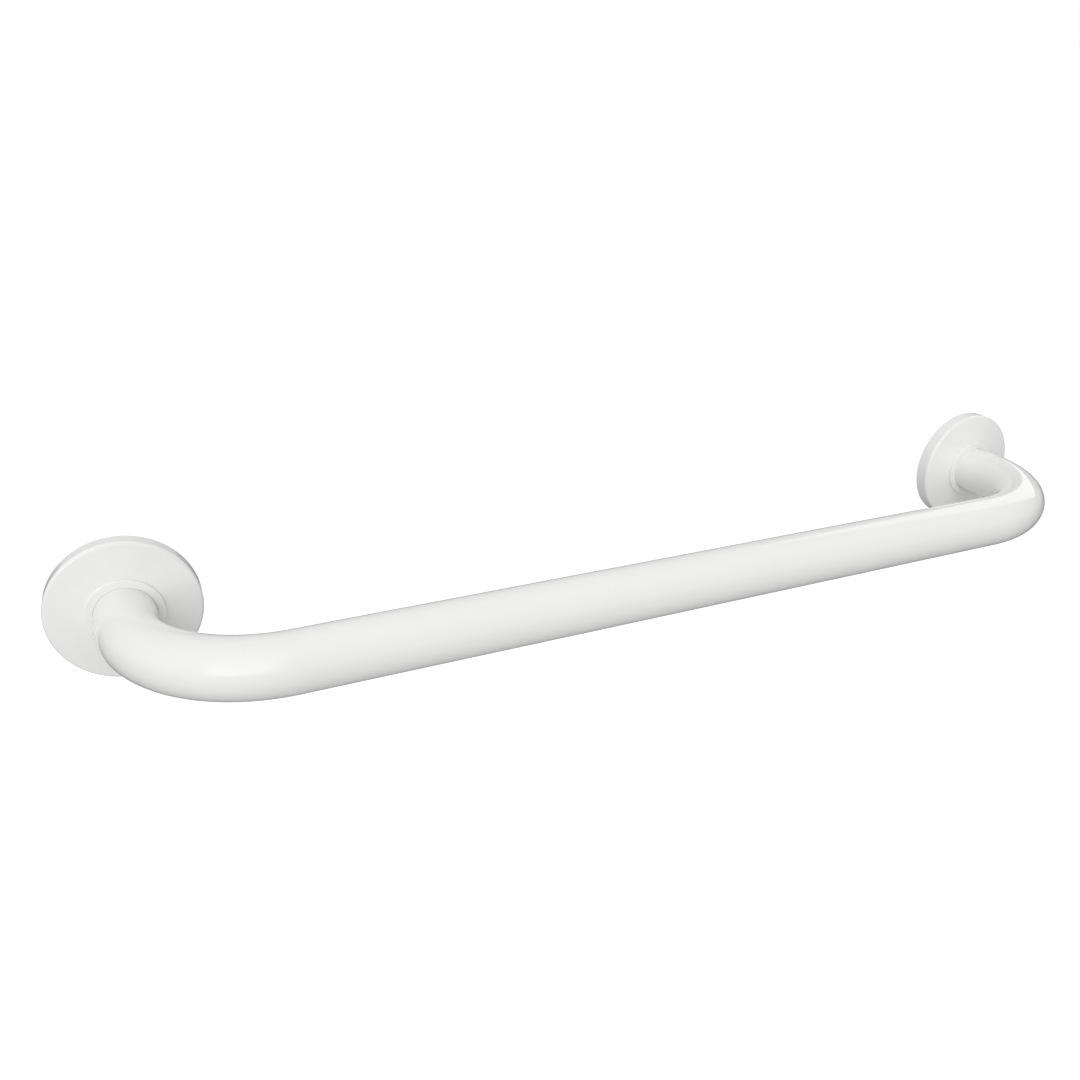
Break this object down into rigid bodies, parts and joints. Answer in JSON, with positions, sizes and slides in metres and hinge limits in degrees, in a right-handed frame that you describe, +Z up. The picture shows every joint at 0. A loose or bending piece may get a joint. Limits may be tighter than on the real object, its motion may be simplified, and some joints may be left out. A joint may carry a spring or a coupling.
{
  "type": "grab bar",
  "caption": "White wall-mounted grab bar: a round tube bent back to the wall at its ends, with screw flanges hidden under conical covers that slide off along the legs.",
  "frame": {"origin": "on the wall plane, midway between the two flanges, level with the tube's axis", "axes": "+X along the bar to the right as seen from the room, +Y into the wall, +Z up"},
  "size_m": [0.68, 0.115, 0.08],
  "materials": {
    "white_coating": "gloss",
    "white_cover": "gloss"
  },
  "bodies": {
    "bar": {"grab_tube": "white_coating", "left_flange": "white_coating", "right_flange": "white_coating"},
    "left_cover": {"left_cover": "white_cover"},
    "right_cover": {"right_cover": "white_cover"}
  },
  "joints": [
    {"name": "left_cover_slide", "type": "slide", "parent": "bar", "child": "left_cover", "axis": [0, -1, 0], "range_m": [0, 0.01]},
    {"name": "right_cover_slide", "type": "slide", "parent": "bar", "child": "right_cover", "axis": [0, -1, 0], "range_m": [0, 0.01]}
  ]
}
